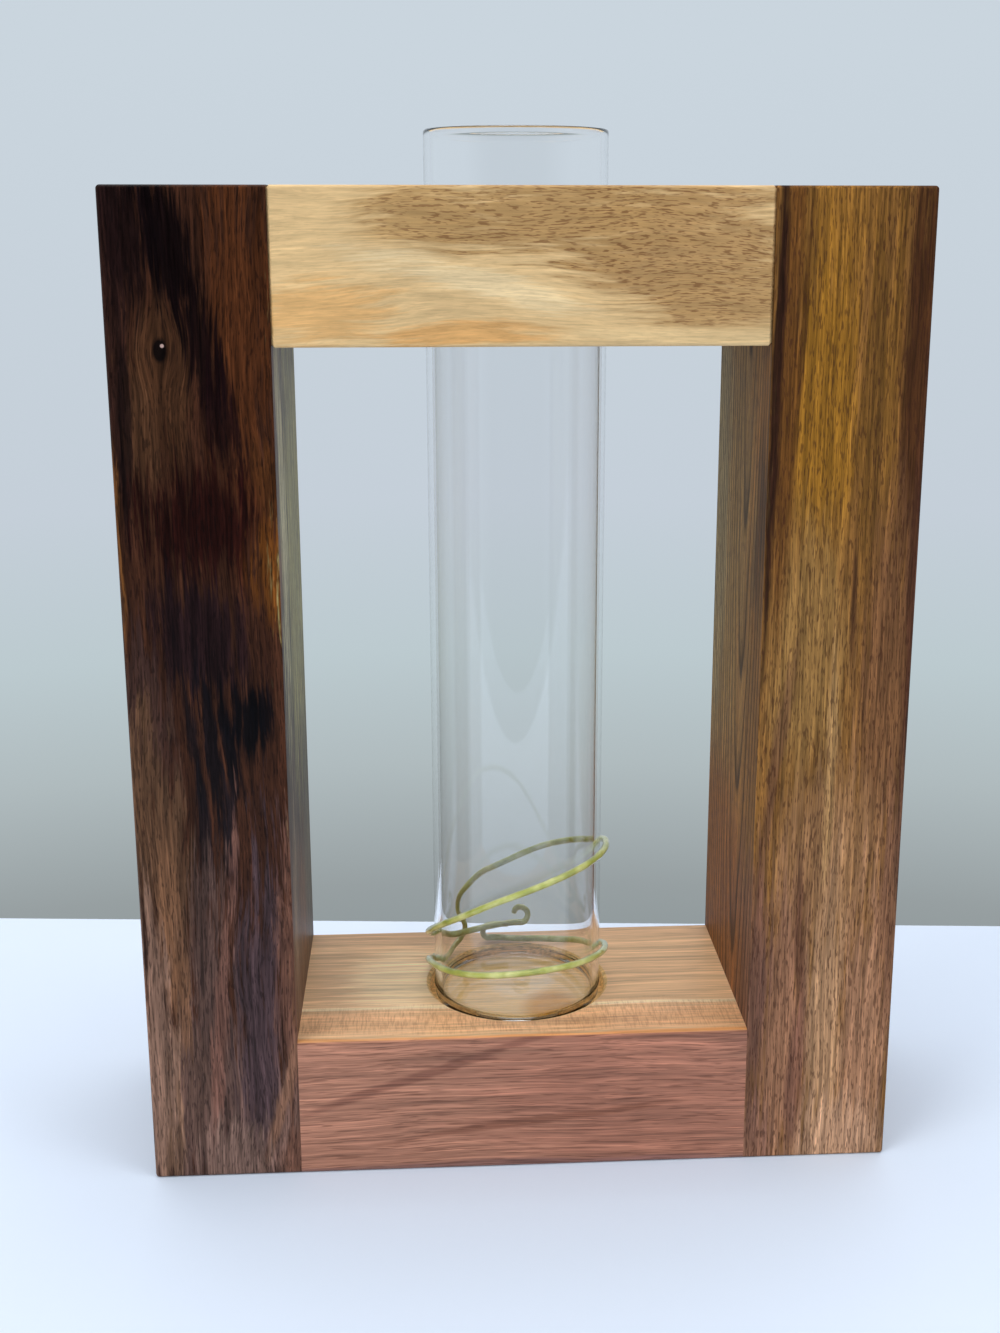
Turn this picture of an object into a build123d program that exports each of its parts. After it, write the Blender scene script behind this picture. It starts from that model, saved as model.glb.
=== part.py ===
from build123d import *
import os
from math import cos, pi, radians, sin, sqrt

# Test tube vase: a flat-bottomed glass tube stands in a round seat in the lower rail of a
# wooden frame and passes through a hole in the upper rail. A green wire is looped twice
# round the foot of the tube. Millimetres, +Z up, the front of the frame faces -Y.

# Wooden frame: two posts with two rails glued between them
post_width = 25.0
post_height = 165.0
frame_depth = 44.0
window_width = 77.0
base_height = 24.8
top_rail_height = 24.0
eased_edge = 0.6

# Glass tube, six inches long, with a fire-polished rim
tube_diameter = 30.0
tube_length = 152.4
tube_wall = 1.2
tube_floor = 2.2
tube_foot_radius = 2.6

# Hole in the upper rail and seat in the lower rail, drilled with one bit
hole_clearance = 1.0
seat_depth = 3.2
hole_easing = 0.5

# Glued dowels, two at each end of each rail
dowel_diameter = 8.0
dowel_length = 30.0
dowel_spacing = 22.0
glue_gap = 0.05
dowel_end_gap = 1.0

# Florist wire, with a section of enough sides to read as round
wire_diameter = 1.2
wire_sides = 12
wire_tube_gap = 0.45
wire_seat_gap = 0.3
wire_layer_step = 1.9
wire_rise = 26.0

# Worked out from the sizes above
tube_radius = tube_diameter / 2
tube_bore_radius = tube_radius - tube_wall
tube_inner_foot_radius = tube_foot_radius - tube_wall
hole_radius = tube_radius + hole_clearance
seat_z = base_height - seat_depth
tube_floor_z = seat_z + tube_floor
tube_rim_z = seat_z + tube_length - tube_wall / 2
top_rail_bottom = post_height - top_rail_height
rail_centres = (base_height / 2, top_rail_bottom + top_rail_height / 2)
dowel_bore_radius = dowel_diameter / 2 + glue_gap
dowel_bore_depth = dowel_length / 2 + dowel_end_gap
wire_radius = wire_diameter / 2

sides = (("left", -1), ("right", 1))
os.makedirs("parts", exist_ok=True)


# A butt joint's face, with its outward normal along outward times X
def joint_plane(side, outward, height):
    return Plane(origin=(side * window_width / 2, 0, height), x_dir=(0, 1, 0), z_dir=(outward, 0, 0))


# Bores for one pair of dowels, in the part being built
def drill_dowel_bores(side, outward, height):
    with Locations(joint_plane(side, outward, height)):
        with GridLocations(dowel_spacing, 0, 2, 1):
            Hole(dowel_bore_radius, depth=dowel_bore_depth)


# Posts: plain uprights, eased all round but for the face that the rails are glued to
for side_name, side in sides:
    with BuildPart() as post:
        with BuildSketch(Plane.XY):
            with Locations((side * (window_width + post_width) / 2, 0)):
                Rectangle(post_width, frame_depth)
        extrude(amount=post_height)
        glued_face = post.faces().sort_by(Axis.X)[-1 if side < 0 else 0]
        fillet(post.edges() - glued_face.edges(), radius=eased_edge)
        for height in rail_centres:
            drill_dowel_bores(side, -side, height)
    post.part.label = side_name + "_post"
    export_step(post.part, "parts/" + side_name + "_post.step")

# Upper rail, drilled right through for the tube
with BuildPart() as top_rail:
    with BuildSketch(Plane.XY.offset(top_rail_bottom)):
        Rectangle(window_width, frame_depth)
    extrude(amount=top_rail_height)
    fillet(top_rail.edges().filter_by(Axis.X), radius=eased_edge)
    with Locations((0, 0, post_height)):
        Hole(hole_radius, depth=top_rail_height)
    chamfer(top_rail.edges().filter_by(GeomType.CIRCLE), length=hole_easing)
    for side_name, side in sides:
        drill_dowel_bores(side, side, rail_centres[1])
top_rail.part.label = "top_rail"
export_step(top_rail.part, "parts/top_rail.step")

# Lower rail, with the shallow seat that the tube stands in
with BuildPart() as base_rail:
    with BuildSketch(Plane.XY):
        Rectangle(window_width, frame_depth)
    extrude(amount=base_height)
    fillet(base_rail.edges().filter_by(Axis.X), radius=eased_edge)
    with Locations((0, 0, base_height)):
        Hole(hole_radius, depth=seat_depth)
    seat_rim = base_rail.edges().filter_by(GeomType.CIRCLE).sort_by(Axis.Z)[-1]
    chamfer(seat_rim, length=hole_easing)
    for side_name, side in sides:
        drill_dowel_bores(side, side, rail_centres[0])
base_rail.part.label = "base_rail"
export_step(base_rail.part, "parts/base_rail.step")

# Dowels: plain round pegs, half in the rail and half in the post
for rail_name, height in zip(("base", "top"), rail_centres):
    for side_name, side in sides:
        for place_name, place in (("front", -1), ("back", 1)):
            with BuildPart() as dowel:
                dowel_start = side * window_width / 2 - dowel_length / 2
                with BuildSketch(Plane.YZ.offset(dowel_start)):
                    with Locations((place * dowel_spacing / 2, height)):
                        Circle(dowel_diameter / 2)
                extrude(amount=dowel_length)
            dowel_name = "_".join((rail_name, side_name, place_name, "dowel"))
            dowel.part.label = dowel_name
            export_step(dowel.part, "parts/" + dowel_name + ".step")

# Tube: one revolved wall with a flat foot and a rim melted to a full round
with BuildPart() as glass_tube:
    with BuildSketch(Plane.XZ):
        with BuildLine():
            foot = Line((0, seat_z), (tube_radius - tube_foot_radius, seat_z))
            heel = JernArc(foot @ 1, foot % 1, tube_foot_radius, 90)
            side_wall = Line(heel @ 1, (tube_radius, tube_rim_z))
            rim = JernArc(side_wall @ 1, side_wall % 1, tube_wall / 2, 180)
            bore_wall = Line(rim @ 1, (tube_bore_radius, tube_floor_z + tube_inner_foot_radius))
            inner_heel = JernArc(bore_wall @ 1, bore_wall % 1, tube_inner_foot_radius, -90)
            inner_floor = Line(inner_heel @ 1, (0, tube_floor_z))
            Line(inner_floor @ 1, foot @ 0)
        make_face()
    revolve(axis=Axis.Z)
glass_tube.part.label = "glass_tube"
export_step(glass_tube.part, "parts/glass_tube.step")

# Places that the wire passes, from the curl at its one end to the hook at its other, as
# shares: of a turn round the tube from its right side, of the wire's rise, and of a step
# out from the tube. The last number is the heading in degrees: 0 goes on round the tube,
# 90 goes up and 180 goes back.
wire_place_shares = (
    (0.246, 0.188, 1.00, 90),
    (0.233, 0.238, 0.66, 180),
    (0.220, 0.188, 0.33, 270),
    (0.233, 0.138, 0.00, 0),
    (0.319, 0.123, 0.00, 0),
    (0.417, 0.192, 0.00, 24),
    (0.500, 0.342, 0.00, 28),
    (0.611, 0.592, 0.00, 30),
    (0.739, 0.858, 0.00, 21),
    (0.867, 0.988, 0.00, 7),
    (0.983, 1.000, 0.00, -4),
    (1.069, 0.912, 0.00, -17),
    (1.167, 0.785, 0.00, -20),
    (1.264, 0.623, 0.00, -23),
    (1.328, 0.512, 0.40, -36),
    (1.365, 0.327, 1.00, -90),
    (1.347, 0.165, 1.00, -115),
    (1.364, 0.042, 1.00, -15),
    (1.408, 0.004, 0.60, 0),
    (1.458, 0.062, 0.20, 20),
    (1.514, 0.158, 0.00, 15),
    (1.642, 0.246, 0.00, 9),
    (1.792, 0.312, 0.00, 1),
    (1.889, 0.292, 0.00, -5),
    (1.983, 0.231, 0.00, -12),
    (2.069, 0.127, 0.00, -13),
    (2.178, 0.027, 0.00, -8),
    (2.250, 0.000, 0.30, 0),
    (2.294, 0.000, 1.00, 0),
    (2.294, 0.100, 1.00, 180),
    (2.258, 0.096, 1.00, 180),
)


# Centre of the wire at one of the places
def wire_point(place):
    turn, height, step, heading = place
    radius = tube_radius + wire_tube_gap + wire_radius + step * wire_layer_step
    angle = turn * 2 * pi
    z = base_height + wire_seat_gap + wire_radius + height * wire_rise
    return Vector(radius * cos(angle), radius * sin(angle), z)


# Direction of the wire there, which leans out as the wire changes its step
def wire_direction(place, before, after):
    angle = place[0] * 2 * pi
    heading = radians(place[3])
    lean = (after[2] - before[2]) * wire_layer_step / (wire_point(after) - wire_point(before)).length
    outward = Vector(cos(angle), sin(angle), 0)
    onward = Vector(-sin(angle), cos(angle), 0)
    return (onward * cos(heading) + Vector(0, 0, sin(heading)) + outward * lean).normalized()


# Two arcs that leave one place and reach the next without a kink
def join_places(start, start_direction, end, end_direction):
    chord = end - start
    together = chord.dot(start_direction + end_direction)
    spread = 2 * (1 - start_direction.dot(end_direction))
    reach = (sqrt(together**2 + spread * chord.dot(chord)) - together) / spread
    start_handle = start + start_direction * reach
    end_handle = end - end_direction * reach
    middle = (start_handle + end_handle) * 0.5
    TangentArc(start, middle, tangent=start_direction)
    TangentArc(middle, end, tangent=end_handle - start_handle)


wire_points = [wire_point(place) for place in wire_place_shares]
wire_before = wire_place_shares[:1] + wire_place_shares[:-1]
wire_after = wire_place_shares[1:] + wire_place_shares[-1:]
wire_directions = [wire_direction(*trio) for trio in zip(wire_place_shares, wire_before, wire_after)]

# Wire: one unbroken strand swept along the joined arcs
with BuildPart() as florist_wire:
    with BuildLine() as wire_line:
        for index in range(len(wire_points) - 1):
            join_places(wire_points[index], wire_directions[index],
                        wire_points[index + 1], wire_directions[index + 1])
    with BuildSketch(Plane(origin=wire_points[0], z_dir=wire_directions[0])):
        wire_section = RegularPolygon(wire_radius, side_count=wire_sides)
    sweep(path=wire_line.wires()[0])
florist_wire.part.label = "florist_wire"
export_step(florist_wire.part, "parts/florist_wire.step")

# Least gap of the wire to itself and to the tube, measured on points along it
wire_path = wire_line.wires()[0]
wire_sample_count = int(wire_path.length / wire_radius)
wire_samples = [wire_path @ (index / wire_sample_count) for index in range(wire_sample_count + 1)]
samples_apart = int(2 * wire_diameter / (wire_path.length / wire_sample_count)) + 1
self_gap = min((first - second).length
               for index, first in enumerate(wire_samples)
               for second in wire_samples[index + samples_apart:]) - wire_diameter
tube_gap = min(Vector(point.X, point.Y, 0).length for point in wire_samples) - tube_radius - wire_radius
print("wire length", round(wire_path.length, 2))
print("least gap of the wire to itself", round(self_gap, 3))
print("least gap of the wire to the tube", round(tube_gap, 3))
print("lowest wire centre over the lower rail", round(min(point.Z for point in wire_samples) - base_height, 3))
print("wire volume over section times length",
      round(florist_wire.part.volume / (wire_section.area * wire_path.length), 5))
print("tightest bend of the wire", round(min(edge.radius for edge in wire_path.edges()), 3))
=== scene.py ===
import bpy, math
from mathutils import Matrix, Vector


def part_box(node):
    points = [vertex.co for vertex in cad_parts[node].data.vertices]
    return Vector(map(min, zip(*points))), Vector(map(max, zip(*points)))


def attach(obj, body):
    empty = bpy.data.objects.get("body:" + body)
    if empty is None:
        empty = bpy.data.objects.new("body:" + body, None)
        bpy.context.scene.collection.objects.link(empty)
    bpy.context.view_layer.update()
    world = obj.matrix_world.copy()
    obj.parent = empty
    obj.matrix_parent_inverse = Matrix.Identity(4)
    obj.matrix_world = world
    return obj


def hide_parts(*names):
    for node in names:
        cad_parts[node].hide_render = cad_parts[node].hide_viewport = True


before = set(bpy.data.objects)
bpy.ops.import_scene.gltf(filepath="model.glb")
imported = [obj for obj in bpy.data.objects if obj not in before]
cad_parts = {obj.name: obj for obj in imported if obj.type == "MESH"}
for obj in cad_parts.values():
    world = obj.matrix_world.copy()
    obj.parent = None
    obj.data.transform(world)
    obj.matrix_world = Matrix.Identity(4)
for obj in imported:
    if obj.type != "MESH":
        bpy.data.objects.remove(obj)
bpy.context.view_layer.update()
print("frame loaded:", len(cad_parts), "nodes")

scene = bpy.context.scene
scene.view_settings.view_transform = "Standard"
mm = 0.001        # the dictionaries below are in millimetres and degrees


def linear(hexColour):        # sRGB hex to the linear numbers that the nodes want
    parts = [int(hexColour[i:i + 2], 16) / 255 for i in (1, 3, 5)]
    return [c / 12.92 if c <= 0.04045 else ((c + 0.055) / 1.055) ** 2.4 for c in parts] + [1.0]


def deselectAll():
    if bpy.context.object and bpy.context.object.mode != "OBJECT":
        bpy.ops.object.mode_set(mode="OBJECT")
    bpy.ops.object.select_all(action="DESELECT")


# Camera, solved from the frame's edges in the photograph
cameraLook = {"place": (-15.37, -278.64, 160.31), "turn": (75.70, -0.02, -3.55), "lens": 44.70,
              "sensor": 36, "shift": (-0.0207, -0.0206), "nearest": 10}


def makeCamera():
    deselectAll()
    bpy.ops.object.camera_add(location=[v * mm for v in cameraLook["place"]],
                              rotation=[math.radians(v) for v in cameraLook["turn"]])
    camera = bpy.context.object
    camera.name = "photoCamera"
    camera.data.lens = cameraLook["lens"]
    camera.data.sensor_width = cameraLook["sensor"]
    camera.data.shift_x, camera.data.shift_y = cameraLook["shift"]
    camera.data.clip_start = cameraLook["nearest"] * mm
    scene.camera = camera


makeCamera()
print("camera placed")


# Adds one node with its settings, values and links. The inputs are a dictionary, or a list in
# the node's own order. A socket makes a link, and a node makes one from its first live output.
def addNode(tree, kind, inputs=(), **settings):
    node = tree.nodes.new("ShaderNode" + kind)
    for name, value in settings.items():
        setattr(node, name, value)
    for name, value in inputs.items() if isinstance(inputs, dict) else enumerate(inputs):
        if isinstance(value, bpy.types.Node):
            value = next(output for output in value.outputs if output.enabled)
        if isinstance(value, bpy.types.NodeSocket):
            tree.links.new(value, node.inputs[name])
        else:
            node.inputs[name].default_value = value
    return node


def setRamp(node, stops):        # stops are (place, hex colour or grey)
    ramp = node.color_ramp
    while len(ramp.elements) < len(stops):
        ramp.elements.new(0.5)
    for element, (place, colour) in zip(ramp.elements, stops):
        element.position = place
        element.color = linear(colour) if isinstance(colour, str) else (colour, colour, colour, 1)


def newMaterial(name):
    material = bpy.data.materials.new(name)
    material.use_nodes = True
    material.node_tree.nodes.clear()
    return material, material.node_tree


def giveMaterial(target, material):
    target.data.materials.clear()
    target.data.materials.append(material)


# Wooden boards. Each is planed, sanded and wiped with oil, which leaves a satin face where
# the fibres, the open pores and the soft growth zones show. Places are counted from the
# middle of the board. A zone is a place, its half sizes, a lean, its tint and its strength,
# and each is painted over the ones before it.
# Some zones also carry painted reflections and painted light, as noted where they stand
leftPostLook = {
    "grain": "z",
    "base": "#3e2316",
    "warp": 2.6,        # how far the grain wanders
    "ragged": 1.7,        # how much the zones' edges are frayed
    "soft": (0.55, 1.3),        # shares of a zone's half sizes where it begins to fade and where it ends
    "zones": [
        # The upper part: brown, with a near-black band that leans down to the right
        ((8.5, -22, 56), (6, 40, 38), 0, "#4f2a13", 0.92),
        ((-11.5, -22, 62), (2.8, 40, 34), 0, "#2b1814", 0.8),
        ((-4.5, -22, 52), (5, 30, 16), 0, "#482d1b", 0.9),
        ((-7.5, -22, 41), (2.4, 30, 13), 0, "#4d3220", 0.85),
        ((-8.5, -22, 76), (4.5, 40, 12), 0, "#190b0b", 0.9),
        ((-2.5, -22, 74), (4.4, 40, 13), -14, "#0c0406", 0.93),
        ((1.6, -22, 60), (3.2, 40, 12), -14, "#100506", 0.9),
        ((4.8, -22, 48), (3, 40, 12), -12, "#160608", 0.88),
        ((-10.4, -22, 46), (0.9, 40, 18), 2, "#120808", 0.85),
        # The middle: dark, with lighter edges
        ((1.5, -22, 31), (10, 40, 9.5), 0, "#240906", 0.95),
        ((-12.3, -22, 24), (0.7, 30, 18), 0, "#7a4d26", 0.85),
        ((11.6, -22, 24), (2.9, 20, 8), 0, "#693c13", 0.88),
        ((11.8, -22, 39), (2.4, 20, 8), 0, "#4c2b12", 0.75),
        ((-1, -22, 12), (9.5, 40, 9.5), 0, "#1f1115", 0.88),
        ((-9.5, -22, -1), (3.4, 40, 17), -8, "#402b25", 0.88),
        # The lower part's lighter ground, its own tone with a painted reflection of the pale table
        ((0, -22, -72), (17, 40, 24), 0, "#664d45", 0.92),
        ((11, -22, -74), (4, 30, 14), 0, "#785b50", 0.85),
        # Black streaks at the middle and below it
        ((6.6, -22, -1), (2.7, 40, 6.5), 0, "#050509", 0.96),
        ((8.9, -22, 1), (1.7, 40, 5.5), 0, "#07060b", 0.92),
        ((3.6, -22, -6), (1.5, 40, 10), -4, "#08070c", 0.93),
        ((0.2, -22, -6), (1.7, 40, 15), -4, "#0b090e", 0.92),
        ((-3.2, -22, -4), (1.3, 40, 13), -6, "#100c10", 0.88),
        ((-1.8, -22, -22), (1.4, 40, 14), -3, "#191317", 0.85),
        ((2.6, -22, -22), (1.1, 40, 12), -2, "#1c1519", 0.8),
        # The lower part, with lighter bands along its edges, and a painted reflection of the pale table in
        # its tints
        ((-8.5, -22, -24), (4.2, 40, 22), -4, "#5f432f", 0.88),
        ((6.4, -22, -55), (4, 40, 32), 3, "#49383b", 0.95),
        ((-1.8, -22, -46), (4, 40, 19), 0, "#533e37", 0.92),
        ((-4.5, -22, -68), (3, 40, 14), 0, "#553f36", 0.85),
        ((-7.9, -22, -40), (2.6, 40, 18), -2, "#7b563d", 0.8),
        ((-9.4, -22, -70), (2.2, 40, 16), 1, "#7f5e48", 0.9),
        ((0.3, -22, -55), (1.2, 40, 31), 5.6, "#755145", 0.88),
        ((11.8, -22, -48), (2.6, 30, 24), 0, "#6c493b", 0.9),
        ((12.5, -22, -78), (3, 30, 9), 15, "#704c3d", 0.85),
        ((9.3, -22, -70), (1.1, 30, 14), 15, "#8d6650", 0.75),
        ((-11, -22, -56), (3, 40, 24), 0, "#8b6b5a", 0.85),
        ((1.5, -22, -80), (6.5, 40, 9), 0, "#7b6156", 0.85),
        # The face towards the tube: pale greenish wood, whose tints also carry a painted reflection of the
        # pale wall
        ((12.5, 12, 24), (2.5, 24, 44.6), 0, "#98905e", 0.95),
        ((12.5, 9, -45), (2.5, 25, 18), 0, "#6f4c32", 0.9),
        ((12.5, -8, -30), (1.5, 3, 24), 0, "#5d4636", 0.6),
        ((12.5, -12.5, 32), (1.5, 5.5, 38), 0, "#b3aa84", 0.85),
        ((12.5, 17, -38), (1.5, 10, 24), 0, "#5b5140", 0.85),
        ((12.5, -14, -34), (1.5, 4.6, 20), 0, "#86705a", 0.7),
    ],
    # Depths are of tone: the rings' on the front and on the sides, and each streak's after its size
    "rings": {"pith": (30, 26, 0), "lean": 2, "gap": 2.3, "depth": 0.12, "sideDepth": 0.2},
    "streaks": [(1.8, 45, 0.34), (0.7, 28, 0.35), (0.3, 14, 0.32)],
    "fibre": 0.33,
    "pore": {"tint": "#0b0505", "strength": 0.5, "start": 0.56, "size": (0.26, 2.2)},
    "rough": 0.42,
    "sheen": 0.1,
    "knot": {"place": (-4.3, -22, 58.2), "size": 1.15, "squash": (1, 0.2, 0.6), "tint": "#0a0505",
             "fade": (0.75, 1.15), "strength": 0.95, "swell": 0.8, "swellReach": 5,
             "speckPlace": (-3.9, -22, 58.9), "speckSize": 0.35, "speckFade": 0.6, "speckTint": "#c9a9a0",
             "speckStrength": 0.9},
}
rightPostLook = {
    "grain": "z",
    "base": "#855c2d",
    "warp": 1.0,
    "ragged": 0.9,
    "soft": (0.5, 1.4),
    "zones": [
        # The upper part: golden, darker towards the right
        ((-3, -22, 76), (7, 40, 12), 0, "#936629", 0.8),
        ((-3.8, -22, 48), (5.8, 40, 26), 0, "#95671f", 0.9),
        ((4, -22, 50), (1.8, 40, 36), 0, "#65451b", 0.75),
        ((7, -22, 52), (1.5, 40, 34), 0, "#7e5722", 0.75),
        ((11.4, -22, 55), (3.4, 40, 42), 0, "#432512", 0.92),
        # The middle
        ((-5, -22, 8), (6.5, 40, 22), 0, "#9a7441", 0.88),
        ((8.5, -22, 0), (4.5, 40, 34), 0, "#7b5436", 0.88),
        ((12.5, -22, 5), (1.3, 40, 42), 0, "#4a2a1e", 0.85),
        # Dark lines, most of them along the left edge
        ((-9.8, -22, 55), (1.7, 40, 42), 0.6, "#6b431c", 0.9),
        ((-11.6, -22, 50), (0.8, 40, 46), 0.6, "#241009", 0.95),
        ((-7.8, -22, 62), (0.4, 40, 24), 2, "#4d3011", 0.85),
        ((2.4, -22, 18), (0.5, 40, 12), -1, "#5c3c22", 0.88),
        # The lower part: lighter and pinker, with darker edges. Its tints carry a painted reflection of the
        # pale table as well as the wood's own colour
        ((0, -22, -28), (9, 40, 17), 0, "#9f754f", 0.85),
        ((-6.5, -22, -60), (4.5, 40, 28), 0, "#986d54", 0.85),
        ((7.5, -22, -62), (4.6, 40, 28), 0, "#a97c5e", 0.9),
        ((0.8, -22, -58), (3, 40, 30), 0, "#b48b67", 0.9),
        ((4, -22, -84), (9, 40, 13), 0, "#c79c7c", 0.8),
        ((-0.4, -22, -10), (0.9, 40, 21), 0, "#b58d5c", 0.7),
        ((-11, -22, -80), (3, 40, 9), 0, "#966c5b", 0.75),
        ((11.6, -22, -34), (2.6, 40, 24), 0, "#7a553f", 0.85),
        ((-11.7, -22, -50), (2.4, 40, 22), 0, "#714f44", 0.8),
        ((-9.1, -22, -9), (1, 40, 20), 6, "#664533", 0.65),
        ((-4.3, -22, -42), (0.9, 40, 15), -2, "#65412f", 0.7),
        ((-3.9, -22, -68), (1.6, 40, 16), 2, "#754e40", 0.7),
        # The face towards the tube
        ((-12.5, 12, 35), (2.5, 24, 62), 0, "#8a6c3f", 0.95),
        ((-12.5, 19, 34), (1.5, 9, 48), 0, "#988762", 0.75),
        ((-12.5, 10, -42), (2.5, 26, 22), 0, "#855428", 0.9),
    ],
    "rings": {"pith": (-22.3, -5.5, 0), "lean": 3.5, "gap": 1.6, "depth": 0.16, "sideDepth": 0.7},
    "streaks": [(1.4, 60, 0.20), (0.6, 34, 0.30), (0.28, 20, 0.34)],
    "fibre": 0.3,
    "pore": {"tint": "#3f2216", "strength": 0.6, "start": 0.55, "size": (0.24, 2.0)},
    "rough": 0.6,
    "sheen": 0.12,
}
topRailLook = {
    "grain": "x",
    "base": "#e3c28d",
    "warp": 3.4,
    "ragged": 1.2,
    "soft": (0.55, 1.3),
    "zones": [
        # A warm patch at the lower left
        ((-31, -22, -7), (10, 40, 5), 0, "#e3b271", 0.8),
        # Heartwood across the upper and right parts
        ((24, -22, 3), (18, 40, 10.5), 0, "#b6905d", 0.96),
        ((5, -22, 7.2), (20, 40, 6.6), 0, "#b6905b", 0.92),
        ((-15, -22, 7), (11, 40, 6), 8, "#b8935e", 0.9),
        ((31, -22, -5), (12, 40, 6), 0, "#b9935f", 0.85),
        # The palest sapwood under it, and the lower edge
        ((-8, -22, -3), (18, 40, 2.4), 13, "#edd4a5", 0.9),
        ((3, -22, -5.6), (6, 40, 2.4), 0, "#ecd2a2", 0.7),
        ((24, -22, -11), (18, 40, 1.5), 0, "#e6c894", 0.75),
        ((-9, -22, -11.2), (13, 40, 1.8), 0, "#dda662", 0.8),
    ],
    "rings": {"pith": (0, -14, -46), "lean": -3, "gap": 5.0, "depth": 0.06, "sideDepth": 0.15},
    "streaks": [(2.4, 30, 0.08), (0.8, 12, 0.11)],
    "fibre": 0.12,
    # The pores are dark in the heartwood, and fade in the sapwood as the wood gets this bright
    "pore": {"tint": "#7a4f2c", "strength": 0.75, "start": 0.535, "size": (0.23, 1.8),
             "bright": (0.31, 0.43), "inSapwood": 0.12},
    "rough": 0.48,
    "sheen": 0.3,
}
baseRailLook = {
    "grain": "x",
    "base": "#b07b63",
    "warp": 1.8,
    "ragged": 1.0,
    "soft": (0.5, 1.4),
    "zones": [
        # A redder right half
        ((20, -22, 0), (26, 60, 16), 0, "#a96f59", 0.7),
        # Two dark lines that lean across the front, and the lower edge
        ((-17, -22, 5.5), (26, 60, 0.9), -18, "#6f3f31", 0.55),
        ((2, -22, -4), (24, 60, 0.8), -8, "#74442f", 0.6),
        ((0, -22, -12.4), (60, 60, 0.9), 0, "#6e5050", 0.6),
    ],
    "rings": {"pith": (0, 10, 60), "lean": -4, "gap": 2.4, "depth": 0.08, "sideDepth": 0.15},
    "streaks": [(1.5, 55, 0.26), (0.6, 52, 0.33), (0.28, 26, 0.2)],
    "fibre": 0.11,
    "pore": {"tint": "#5d3524", "strength": 0.52, "start": 0.56, "size": (0.24, 7)},
    "rough": 0.44,
    "sheen": 0.35,
    # The upper face is cut flat across the growth and is paler: partly the wood's own honey colour, partly
    # painted light from above and painted sheen
    "top": {
        "base": "#ebc092",
        "zones": [
            # The back, the left end, a pale patch and the right end
            ((0, 21, 12), (80, 6, 90), 0, "#c8a07a", 0.8),
            ((-38, 2, 12), (10, 12, 90), 0, "#d8b087", 0.6),
            ((-21, 0, 12), (10, 11, 90), 0, "#ffe0b2", 0.95),
            ((27, 3, 12), (15, 12, 90), 0, "#e7bd90", 0.5),
            # Bands along the front
            ((0, -15.5, 12), (90, 4.4, 90), 0, "#edb988", 0.9),
            ((0, -10.6, 12), (90, 0.6, 90), 0, "#ffe4b8", 0.95),
            ((25, -18, 12), (22, 4, 90), 0, "#dba677", 0.6),
            ((0, -21.8, 12), (90, 0.9, 90), 0, "#dc9656", 0.9),
        ],
        # Ticks across the grain, in a band along the front
        "figure": {"place": (0, -15, 12), "halves": (90, 5, 90), "soft": (0.6, 1.3), "tick": (0.26, 2.4),
                   "detail": 2.0, "range": (0.44, 0.64), "tint": "#a66d49", "strength": 0.42},
        # The seat's wall and floor get painted light, as pale as the face round it, over their shade, and a
        # painted caustic lies on its floor
        "seat": {"radius": 16.4, "edge": 0.3, "lowestNormal": -0.5, "tint": "#f2c685"},
        "paintedCaustic": {"place": (6, -8, 9.2), "halves": (7, 9.5, 3), "soft": (0.45, 1.0), "tint": "#d49000",
                  "strength": 1.0},
        "calmStreaks": 0.65,        # shares of the front's streaks and pores that show up here
        "calmPores": 0.25,
    },
}

# What the woods share. A pattern is its width across the grain, its length along it and its
# detail, and most of its values lie within "values".
grainLook = {
    "wander": (20, 55, 2.0),
    "fray": (1.3, 16, 4.0),
    "fineFray": (0.4, 9, 3.0),
    "fineShare": 0.6,        # of the coarse fraying's depth
    "frayDepth": 1.6,
    "fibre": (0.28, 6, 2.0),
    "streakDetail": 3.0,
    "poreDetail": 1.0,
    "poreEdge": 0.08,
    "noiseRoughness": 0.6,
    "values": (0.3, 0.7),
    # How light the wood is through one ring: earlywood is 1 and latewood is 0
    "ring": [(0.0, 0.7), (0.15, 1.0), (0.65, 0.75), (0.86, 0.0), (0.93, 0.0), (1.0, 0.7)],
    "ringGlow": 0.3,        # earlywood lightens by this share of the depth
    "sideways": (0.5, 0.9),        # normals between which a face turns into a side
    "upwards": (0.6, 0.9),        # and into the upper face
    "rough": (-0.05, 0.08),        # added to a wood's own, between the fibres and on them
    "bump": 0.30,
    "bumpHeight": 0.05,
    "ior": 1.5,
}


def grainNoise(tree, look, space, across, along, detail):        # noise that is stretched along the grain
    scales = (1 / across, 1 / across, 1 / along)
    if look["grain"] == "x":
        scales = scales[::-1]
    fitted = addNode(tree, "Mapping", {"Vector": space, "Scale": scales})
    return addNode(tree, "TexNoise", {"Vector": fitted, "Scale": 1.0, "Detail": detail,
                                      "Roughness": grainLook["noiseRoughness"]})


def fromEllipse(tree, space, place, halves, lean=0):        # 0 at the middle, 1 at the half sizes
    fitted = addNode(tree, "Mapping", {"Vector": space, "Location": place, "Scale": halves,
                                       "Rotation": (0, math.radians(lean), 0)}, vector_type="TEXTURE")
    return addNode(tree, "VectorMath", [fitted], operation="LENGTH")


def paintZones(tree, space, edge, soft, base, zones):        # soft ellipses of colour with frayed edges
    tint = linear(base)
    for place, halves, lean, zoneTint, strength in zones:
        far = addNode(tree, "Math", [fromEllipse(tree, space, place, halves, lean), edge], operation="ADD")
        mask = addNode(tree, "MapRange", [far, *soft, strength, 0], interpolation_type="SMOOTHSTEP")
        tint = addNode(tree, "Mix", {0: mask, "A": tint, "B": linear(zoneTint)}, data_type="RGBA")
    return tint
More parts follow.
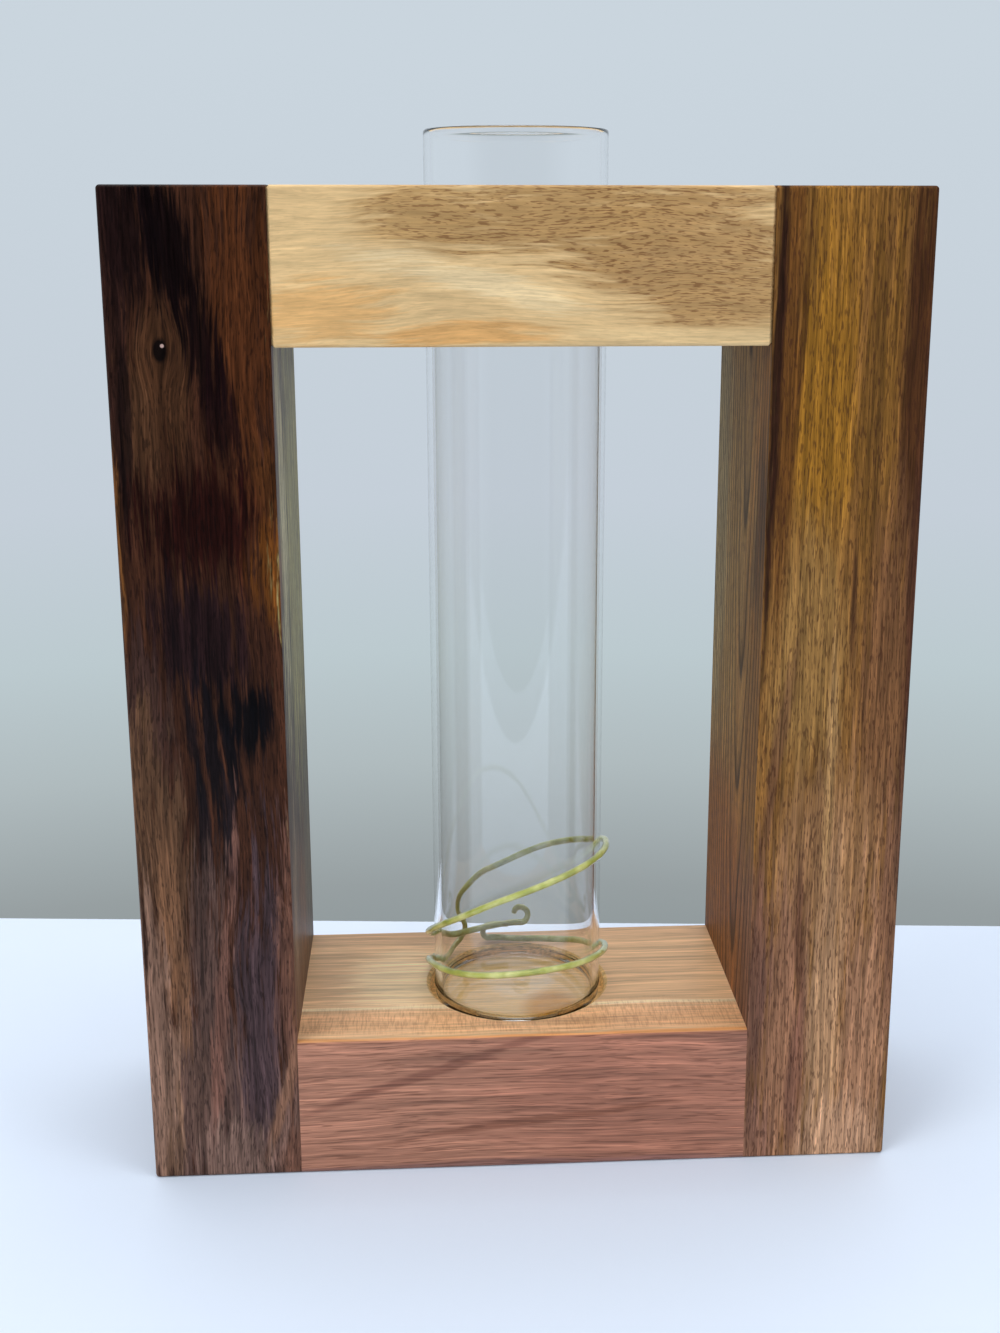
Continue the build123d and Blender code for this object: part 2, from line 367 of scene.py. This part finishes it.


# The flat-cut upper face with its ticks, and the seat with its painted light and its painted caustic
def paintTop(tree, look, colour, board, bent, edge, normal):
    top = look["top"]
    figure, seat, paintedCaustic = top["figure"], top["seat"], top["paintedCaustic"]
    upper = paintZones(tree, bent, edge, look["soft"], top["base"], top["zones"])

    far = fromEllipse(tree, board, figure["place"], figure["halves"])
    far = addNode(tree, "Math", [far, edge], operation="ADD")
    band = addNode(tree, "MapRange", [far, *figure["soft"], figure["strength"], 0])
    width, length = figure["tick"]
    ticks = addNode(tree, "Mapping", {"Vector": board, "Scale": (1 / width, 1 / length, 1)})
    ticks = addNode(tree, "TexNoise", {"Vector": ticks, "Scale": 1.0, "Detail": figure["detail"]})
    ticks = addNode(tree, "MapRange", [ticks, *figure["range"], 0, 1])
    share = addNode(tree, "Math", [band, ticks], operation="MULTIPLY")
    upper = addNode(tree, "Mix", {0: share, "A": upper, "B": linear(figure["tint"])}, data_type="RGBA")
    # The upper face's paler palette carries painted light from above and painted sheen
    facing = addNode(tree, "MapRange", [normal.outputs["Z"], *grainLook["upwards"], 0, 1])
    colour = addNode(tree, "Mix", {0: facing, "A": colour, "B": upper}, data_type="RGBA")

    # Painted light on the seat's floor and wall, over their shade, but not on the rail's underside
    far = addNode(tree, "VectorMath", [board, (1, 1, 0)], operation="MULTIPLY")
    far = addNode(tree, "VectorMath", [far], operation="LENGTH")
    inside = addNode(tree, "MapRange", [far, seat["radius"], seat["radius"] + seat["edge"], 1, 0])
    above = addNode(tree, "Math", [normal.outputs["Z"], seat["lowestNormal"]], operation="GREATER_THAN")
    inSeat = addNode(tree, "Math", [inside, above], operation="MULTIPLY")
    colour = addNode(tree, "Mix", {0: inSeat, "A": colour, "B": linear(seat["tint"])}, data_type="RGBA")
    # Painted caustic: an amber spot of light that the glass focuses onto the seat's floor
    mark = addNode(tree, "MapRange", [fromEllipse(tree, board, paintedCaustic["place"], paintedCaustic["halves"]),
                                      *paintedCaustic["soft"], paintedCaustic["strength"], 0], interpolation_type="SMOOTHSTEP")
    share = addNode(tree, "Math", [mark, inSeat], operation="MULTIPLY")
    return addNode(tree, "Mix", {0: share, "A": colour, "B": linear(paintedCaustic["tint"])}, data_type="RGBA")


def paintKnot(tree, knot, colour, board, reach):
    fadeStart, fadeEnd = [share * knot["size"] for share in knot["fade"]]
    dark = addNode(tree, "MapRange", [reach, fadeStart, fadeEnd, knot["strength"], 0])
    colour = addNode(tree, "Mix", {0: dark, "A": colour, "B": linear(knot["tint"])}, data_type="RGBA")
    far = addNode(tree, "VectorMath", [board, knot["speckPlace"]], operation="DISTANCE")
    speck = addNode(tree, "MapRange", [far, knot["speckFade"] * knot["speckSize"], knot["speckSize"],
                                       knot["speckStrength"], 0])
    return addNode(tree, "Mix", {0: speck, "A": colour, "B": linear(knot["speckTint"])}, data_type="RGBA")


# Growth rings round the pith, thin dark latewood and wide soft earlywood. They show best on
# the sides.
def ringGain(tree, look, bent, normal):
    rings = look["rings"]
    aroundPith = addNode(tree, "Mapping", {"Vector": bent, "Location": rings["pith"],
                                           "Rotation": (0, math.radians(rings["lean"]), 0)},
                         vector_type="TEXTURE")
    flat = (0, 1, 1) if look["grain"] == "x" else (1, 1, 0)
    far = addNode(tree, "VectorMath", [aroundPith, flat], operation="MULTIPLY")
    far = addNode(tree, "VectorMath", [far], operation="LENGTH")
    share = addNode(tree, "Math", [far, rings["gap"]], operation="DIVIDE")
    share = addNode(tree, "Math", [share], operation="FRACT")
    band = addNode(tree, "ValToRGB", [share])
    setRamp(band, grainLook["ring"])
    band = addNode(tree, "MapRange", [band, 0, 1, 1, -grainLook["ringGlow"]])
    sideways = addNode(tree, "Math", [normal.outputs["X"]], operation="ABSOLUTE")
    depth = addNode(tree, "MapRange", [sideways, *grainLook["sideways"], rings["depth"], rings["sideDepth"]])
    loss = addNode(tree, "Math", [depth, band], operation="MULTIPLY")
    return addNode(tree, "Math", [1, loss], operation="SUBTRACT")


# Open pores: dark dashes about a quarter of a millimetre wide and a few long
def poreMask(tree, look, colour, bent, normal):
    pore = look["pore"]
    mask = grainNoise(tree, look, bent, *pore["size"], grainLook["poreDetail"])
    mask = addNode(tree, "MapRange", [mask, pore["start"], pore["start"] + grainLook["poreEdge"],
                                      0, pore["strength"]])
    if "top" in look:
        calm = addNode(tree, "MapRange", [normal.outputs["Z"], *grainLook["upwards"],
                                          1, look["top"]["calmPores"]])
        mask = addNode(tree, "Math", [mask, calm], operation="MULTIPLY")
    if "bright" in pore:
        brightness = addNode(tree, "RGBToBW", [colour])
        fade = addNode(tree, "MapRange", [brightness, *pore["bright"], 1, pore["inSapwood"]])
        mask = addNode(tree, "Math", [mask, fade], operation="MULTIPLY")
    return mask


def makeWood(name, node, look):
    material, tree = newMaterial(name)
    low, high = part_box(node)
    where = addNode(tree, "TexCoord")
    normal = addNode(tree, "SeparateXYZ", [where.outputs["Normal"]])
    middle = [(a + b) / 2 for a, b in zip(low, high)]
    board = addNode(tree, "VectorMath", [where.outputs["Object"], middle], operation="SUBTRACT")
    board = addNode(tree, "VectorMath", {0: board, "Scale": 1 / mm}, operation="SCALE")

    # The grain wanders slowly, a millimetre or two either way, and swells round a knot
    wander = grainNoise(tree, look, board, *grainLook["wander"]).outputs["Color"]
    wander = addNode(tree, "VectorMath", [wander, (0.5, 0.5, 0.5)], operation="SUBTRACT")        # its middle
    wander = addNode(tree, "VectorMath", {0: wander, "Scale": look["warp"] * 2}, operation="SCALE")
    bent = addNode(tree, "VectorMath", [board, wander], operation="ADD")
    if "knot" in look:
        knot = look["knot"]
        offset = addNode(tree, "VectorMath", [board, knot["place"]], operation="SUBTRACT")
        offset = addNode(tree, "VectorMath", [offset, knot["squash"]], operation="MULTIPLY")
        reach = addNode(tree, "VectorMath", [offset], operation="LENGTH")
        swell = addNode(tree, "MapRange", [reach, 0, knot["size"] * knot["swellReach"], knot["swell"], 0],
                        interpolation_type="SMOOTHSTEP")
        offset = addNode(tree, "VectorMath", {0: offset, "Scale": swell}, operation="SCALE")
        bent = addNode(tree, "VectorMath", [bent, offset], operation="SUBTRACT")

    # Frayed edges for the zones, centred on zero
    fine = grainNoise(tree, look, bent, *grainLook["fineFray"])
    fine = addNode(tree, "Math", [fine, grainLook["fineShare"]], operation="MULTIPLY")
    frayed = addNode(tree, "Math", [grainNoise(tree, look, bent, *grainLook["fray"]), fine], operation="ADD")
    frayed = addNode(tree, "Math", [frayed, (1 + grainLook["fineShare"]) / 2], operation="SUBTRACT")
    edge = addNode(tree, "Math", [frayed, look["ragged"] * grainLook["frayDepth"]], operation="MULTIPLY")
    painted = paintZones(tree, bent, edge, look["soft"], look["base"], look["zones"])
    if "top" in look:
        painted = paintTop(tree, look, painted, board, bent, edge, normal)

    # Rings, streaks along the grain, and fibres about a quarter of a millimetre wide
    gain = ringGain(tree, look, bent, normal)
    fibre = grainNoise(tree, look, bent, *grainLook["fibre"])
    streaks = [(grainNoise(tree, look, bent, width, length, grainLook["streakDetail"]), depth)
               for width, length, depth in look["streaks"]]
    for pattern, depth in streaks + [(fibre, look["fibre"])]:
        tone = addNode(tree, "MapRange", [pattern, *grainLook["values"], 1 - depth, 1 + depth])
        gain = addNode(tree, "Math", [gain, tone], operation="MULTIPLY")
    if "top" in look:
        calm = addNode(tree, "MapRange", [normal.outputs["Z"], *grainLook["upwards"],
                                          1, look["top"]["calmStreaks"]])
        gain = addNode(tree, "Math", [gain, 1], operation="SUBTRACT")
        gain = addNode(tree, "Math", [gain, calm, 1], operation="MULTIPLY_ADD")
    colour = addNode(tree, "VectorMath", {0: painted, "Scale": gain}, operation="SCALE")
    pore = poreMask(tree, look, painted, bent, normal)
    colour = addNode(tree, "Mix", {0: pore, "A": colour, "B": linear(look["pore"]["tint"])}, data_type="RGBA")
    if "knot" in look:
        colour = paintKnot(tree, look["knot"], colour, board, reach)

    # The tops of the fibres are the dullest, and the pores are a little sunk
    rough = addNode(tree, "MapRange", [fibre, *grainLook["values"],
                                       *[look["rough"] + change for change in grainLook["rough"]]])
    height = addNode(tree, "Math", [fibre, pore], operation="SUBTRACT")
    bump = addNode(tree, "Bump", {"Height": height, "Strength": grainLook["bump"],
                                  "Distance": grainLook["bumpHeight"] * mm})
    shader = addNode(tree, "BsdfPrincipled", {"Base Color": colour, "Roughness": rough, "Normal": bump,
                                              "IOR": grainLook["ior"], "Specular IOR Level": look["sheen"]})
    addNode(tree, "OutputMaterial", {"Surface": shader})
    return material


for nodeName, materialName, look in (("left_post", "walnutHeartwood", leftPostLook),
                                     ("right_post", "goldenHardwood", rightPostLook),
                                     ("top_rail", "paleSapwood", topRailLook),
                                     ("base_rail", "redBrownHardwood", baseRailLook)):
    giveMaterial(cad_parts[nodeName], makeWood(materialName, nodeName, look))

# Beech dowels, sealed inside the joints
dowelLook = dict(topRailLook, base="#cda577", soft=(0.5, 1.4),
                 zones=[((4, 0, 1), (6, 5, 2), 0, "#c09566", 0.7)],
                 pore=dict(topRailLook["pore"], tint="#8a5f3a", strength=0.6, start=0.6))
dowelNames = [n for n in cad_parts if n.endswith("dowel")]
dowelMaterial = makeWood("beechDowel", dowelNames[0], dowelLook)
for nodeName in dowelNames:
    giveMaterial(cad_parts[nodeName], dowelMaterial)
print("boards and dowels finished")

# Glass tube with a flat foot, its rim melted round in a flame
tubeLook = {"wall": 1.2, "floor": 2.2, "segments": 160, "rimShare": 0.98, "rimSteps": 6,
            "footRadius": 2.6, "footSteps": 10, "innerFootRadius": 1.4, "innerFootSteps": 8,
            "flatRing": 0.4,        # keeps the two flat discs flat under smooth shading
            "standRing": 2, "hollow": 0.05,        # the ring that it stands on, and the hollow within
            "wallRings": (2.9, 4),        # heights over the foot of rings that keep the walls straight
            "smooth": 35, "tiny": 0.05}


def selectParts(mesh, kind, wanted):        # wanted takes a face, or an edge's two ends
    bpy.ops.object.mode_set(mode="OBJECT")
    for group in (mesh.vertices, mesh.edges, mesh.polygons):
        for item in group:
            item.select = False
    if kind == "FACE":
        for face in mesh.polygons:
            face.select = wanted(face)
    else:
        for edge in mesh.edges:
            edge.select = all(wanted(mesh.vertices[v].co) for v in edge.vertices)
    bpy.ops.object.mode_set(mode="EDIT")
    bpy.ops.mesh.select_mode(type=kind)


def makeTube():
    low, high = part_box("glass_tube")
    radius = (high[0] - low[0]) / 2
    wall, floor, tiny = [tubeLook[name] * mm for name in ("wall", "floor", "tiny")]
    inner = radius - wall
    deselectAll()
    bpy.ops.mesh.primitive_cylinder_add(vertices=tubeLook["segments"], radius=radius, depth=high[2] - low[2],
                                        location=(0, 0, (low[2] + high[2]) / 2))
    tube = bpy.context.object
    tube.name = "glassTube"
    bpy.ops.object.transform_apply(location=True, rotation=True, scale=True)
    selectParts(tube.data, "FACE", lambda f: f.normal.z > 0.9)
    bpy.ops.mesh.inset(thickness=wall)
    bpy.ops.mesh.extrude_region_move(TRANSFORM_OT_translate={"value": (0, 0, low[2] + floor - high[2])})
    selectParts(tube.data, "EDGE", lambda p: p.z > high[2] - tiny)        # both edges of the rim
    bpy.ops.mesh.bevel(offset=wall / 2 * tubeLook["rimShare"], segments=tubeLook["rimSteps"], affect="EDGES")
    selectParts(tube.data, "EDGE", lambda p: p.z < low[2] + tiny)
    bpy.ops.mesh.bevel(offset=tubeLook["footRadius"] * mm, segments=tubeLook["footSteps"], affect="EDGES")
    selectParts(tube.data, "EDGE",
                lambda p: abs(p.z - low[2] - floor) < tiny and p.xy.length > inner - tiny)
    bpy.ops.mesh.bevel(offset=tubeLook["innerFootRadius"] * mm, segments=tubeLook["innerFootSteps"],
                       affect="EDGES")
    selectParts(tube.data, "FACE", lambda f: len(f.vertices) > 4)        # the two flat discs
    bpy.ops.mesh.inset(thickness=tubeLook["flatRing"] * mm, use_individual=True)
    selectParts(tube.data, "FACE", lambda f: len(f.vertices) > 4 and f.normal.z < 0)        # the lower one
    bpy.ops.mesh.inset(thickness=tubeLook["standRing"] * mm)
    bpy.ops.transform.translate(value=(0, 0, tubeLook["hollow"] * mm))
    for height in (high[2] - wall, *[low[2] + ring * mm for ring in tubeLook["wallRings"]]):
        bpy.ops.mesh.select_all(action="SELECT")
        bpy.ops.mesh.bisect(plane_co=(0, 0, height), plane_no=(0, 0, 1))
    bpy.ops.object.mode_set(mode="OBJECT")
    bpy.ops.object.shade_smooth_by_angle(angle=math.radians(tubeLook["smooth"]))
    return tube


# Borosilicate glass, drawn to a tube: clear and bright. Faint draw lines run down the wall,
# which thickens and thins by hundredths of a millimetre, and smudges dull it a little. Its
# shadow is light, because most of the light goes through.
glassLook = {"tint": "#ffffff", "ior": 1.47, "shadow": (0.95, 0.96, 0.96, 1),
             "lines": (4.545, 333.3),        # their width and length
             "linesDetail": 2.0, "bump": 0.05, "bumpHeight": 0.05,
             "smudge": 11.111, "smudgeDetail": 4.0, "smudgeRange": (0.55, 0.8), "rough": (0.0, 0.04)}


def makeGlass():
    material, tree = newMaterial("drawnBorosilicate")
    where = addNode(tree, "TexCoord").outputs["Object"]
    across, along = [1 / (size * mm) for size in glassLook["lines"]]
    lines = addNode(tree, "Mapping", {"Vector": where, "Scale": (across, across, along)})
    lines = addNode(tree, "TexNoise", {"Vector": lines, "Scale": 1.0, "Detail": glassLook["linesDetail"]})
    bump = addNode(tree, "Bump", {"Height": lines, "Strength": glassLook["bump"],
                                  "Distance": glassLook["bumpHeight"] * mm})
    smudge = addNode(tree, "TexNoise", {"Vector": where, "Scale": 1 / (glassLook["smudge"] * mm),
                                        "Detail": glassLook["smudgeDetail"]})
    rough = addNode(tree, "MapRange", [smudge, *glassLook["smudgeRange"], *glassLook["rough"]])
    glass = addNode(tree, "BsdfPrincipled", {"Base Color": linear(glassLook["tint"]), "Roughness": rough,
                                             "IOR": glassLook["ior"], "Transmission Weight": 1.0,
                                             "Normal": bump})
    clear = addNode(tree, "BsdfTransparent", {"Color": glassLook["shadow"]})
    shadowRay = addNode(tree, "LightPath").outputs["Is Shadow Ray"]
    addNode(tree, "OutputMaterial", {"Surface": addNode(tree, "MixShader", [shadowRay, glass, clear])})
    return material


tube = makeTube()
giveMaterial(tube, makeGlass())
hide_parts("glass_tube")
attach(tube, "tube")
print("tube made:", len(tube.data.polygons), "faces")

# Florist wire: soft iron wire in a glossy coat of yellow-green enamel, cloudy in tone, which
# rubs dull and dark in places. Its colour is darkened towards the back, away from the window's
# light: painted shade.
wireLook = {"tones": [(0.28, "#8d9546"), (0.46, "#b0b75a"), (0.66, "#d3d68c")],        # worn, sound and pale
            "cloud": 3.846, "cloudDetail": 4.0, "rough": (0.42, 0.22),        # from worn to pale
            "grit": 0.4167, "gritDetail": 2.0, "bump": 0.25, "bumpHeight": 0.04,
            # The wire's painted shade, from front to back
            "paintedShadePlaces": (-8, 14), "paintedShade": (1.08, 0.68),        # from front to back
            "ior": 1.5, "coat": 1.0, "coatRough": 0.1, "merge": 0.01, "smooth": 50}


def makeWire():
    deselectAll()
    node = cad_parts["florist_wire"]
    node.select_set(True)
    bpy.context.view_layer.objects.active = node
    bpy.ops.object.duplicate()
    wire = bpy.context.object
    wire.name = "floristWire"
    bpy.ops.object.mode_set(mode="EDIT")
    bpy.ops.mesh.select_all(action="SELECT")
    bpy.ops.mesh.remove_doubles(threshold=wireLook["merge"] * mm)
    bpy.ops.mesh.tris_convert_to_quads()
    bpy.ops.object.mode_set(mode="OBJECT")
    bpy.ops.object.shade_smooth_by_angle(angle=math.radians(wireLook["smooth"]))
    return wire


def makeEnamel():
    material, tree = newMaterial("greenEnamel")
    where = addNode(tree, "TexCoord").outputs["Object"]
    cloud = addNode(tree, "TexNoise", {"Vector": where, "Scale": 1 / (wireLook["cloud"] * mm),
                                       "Detail": wireLook["cloudDetail"]})
    tones = addNode(tree, "ValToRGB", [cloud])
    setRamp(tones, wireLook["tones"])
    rough = addNode(tree, "MapRange", [cloud, 0, 1, *wireLook["rough"]])
    grit = addNode(tree, "TexNoise", {"Vector": where, "Scale": 1 / (wireLook["grit"] * mm),
                                      "Detail": wireLook["gritDetail"]})
    bump = addNode(tree, "Bump", {"Height": grit, "Strength": wireLook["bump"],
                                  "Distance": wireLook["bumpHeight"] * mm})
    # Painted shade: the colour darkens from the front of the wire to its back
    depth = addNode(tree, "SeparateXYZ", [where]).outputs["Y"]
    front, back = [place * mm for place in wireLook["paintedShadePlaces"]]
    gain = addNode(tree, "MapRange", [depth, front, back, *wireLook["paintedShade"]])
    colour = addNode(tree, "VectorMath", {0: tones, "Scale": gain}, operation="SCALE")
    shader = addNode(tree, "BsdfPrincipled", {"Base Color": colour, "Roughness": rough, "Normal": bump,
                                              "IOR": wireLook["ior"], "Coat Weight": wireLook["coat"],
                                              "Coat Roughness": wireLook["coatRough"]})
    addNode(tree, "OutputMaterial", {"Surface": shader})
    return material


wire = makeWire()
giveMaterial(wire, makeEnamel())
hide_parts("florist_wire")
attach(wire, "wire")
print("wire made:", len(wire.data.polygons), "faces")

# Pale matt table that ends a little way behind the frame
tableLook = {"colour": "#dbe8fa", "rough": 0.6, "sheen": 0.2, "backEdge": 81, "frontEdge": -247,
             "width": 2400, "turn": -4.6}


def makeTable():
    deselectAll()
    back, front = tableLook["backEdge"] * mm, tableLook["frontEdge"] * mm
    bpy.ops.mesh.primitive_plane_add(size=1, location=(0, (back + front) / 2, 0))
    table = bpy.context.object
    table.name = "table"
    table.scale = (tableLook["width"] * mm, back - front, 1)
    bpy.ops.transform.rotate(value=-math.radians(tableLook["turn"]), orient_axis="Z",
                             center_override=(0, back, 0))        # with no window it turns the other way
    bpy.ops.object.transform_apply(location=True, rotation=True, scale=True)
    material, tree = newMaterial("paleTable")
    shader = addNode(tree, "BsdfPrincipled", {"Base Color": linear(tableLook["colour"]),
                                              "Roughness": tableLook["rough"],
                                              "Specular IOR Level": tableLook["sheen"]})
    addNode(tree, "OutputMaterial", {"Surface": shader})
    giveMaterial(table, material)


# Soft light from all round, and a pale wall behind the table that lightens upwards. Gloss
# mirrors the wall behind the object and a dim room in front of it, and what the glass bends
# is a paler room. The spans are of the ray's own direction.
roomLook = {
    "soft": 0.56, "softTint": (0.95, 0.97, 1.0, 1),
    "wall": [(0.0, "#8f989a"), (0.034, "#979fa1"), (0.1, "#b0bbbe"), (0.163, "#bccacf"), (0.25, "#c5cfd9"),
             (0.5, "#cad5de")],
    "upSpan": (-0.42, 0.6), "backSpan": (-0.85, -0.35),
    "fronts": (("Is Glossy Ray", "#31363c"), ("Is Transmission Ray", "#a2acb2")),
}


def makeWorld():
    world = bpy.data.worlds.new("room")
    scene.world = world
    world.use_nodes = True
    tree = world.node_tree
    tree.nodes.clear()
    ray = addNode(tree, "SeparateXYZ", [addNode(tree, "TexCoord").outputs["Generated"]])
    up = addNode(tree, "MapRange", [ray.outputs["Z"], *roomLook["upSpan"], 0, 1])
    wall = addNode(tree, "ValToRGB", [up])
    setRamp(wall, roomLook["wall"])
    behind = addNode(tree, "MapRange", [ray.outputs["Y"], *roomLook["backSpan"], 0, 1])
    path = addNode(tree, "LightPath")
    light = addNode(tree, "Background", [roomLook["softTint"], roomLook["soft"]])
    for kind, frontTint in roomLook["fronts"]:
        room = addNode(tree, "Mix", {0: behind, "A": linear(frontTint), "B": wall}, data_type="RGBA")
        light = addNode(tree, "MixShader", [path.outputs[kind], light, addNode(tree, "Background", [room])])
    seen = addNode(tree, "Background", [wall])
    light = addNode(tree, "MixShader", [path.outputs["Is Camera Ray"], light, seen])
    addNode(tree, "OutputWorld", {"Surface": light})


# Two soft windows and a ceiling, which alone is mirrored in gloss and glass
lampLook = {
    "windowLeft": {"place": (-900, -780, 880), "size": 690, "power": 6.9, "colour": (1.0, 0.97, 0.93),
                   "mirrored": False},
    "windowRight": {"place": (900, -650, 800), "size": 560, "power": 2.7, "colour": (0.97, 0.98, 1.0),
                    "mirrored": False},
    "ceiling": {"place": (0, 120, 1400), "size": 1000, "power": 10.6, "colour": (1.0, 0.99, 0.98),
                "mirrored": True},
}
lampAim = (0, 0, 80)


def makeLamps():
    for name, look in lampLook.items():
        deselectAll()
        at, toward = [Vector([v * mm for v in place]) for place in (look["place"], lampAim)]
        bpy.ops.object.light_add(type="AREA", location=at,
                                 rotation=(toward - at).to_track_quat("-Z", "Y").to_euler())
        lamp = bpy.context.object
        lamp.name = name
        lamp.data.size = look["size"] * mm
        lamp.data.energy = look["power"]
        lamp.data.color = look["colour"]
        lamp.visible_glossy = lamp.visible_transmission = look["mirrored"]


makeTable()
makeWorld()
makeLamps()
print("table, room and lamps set")
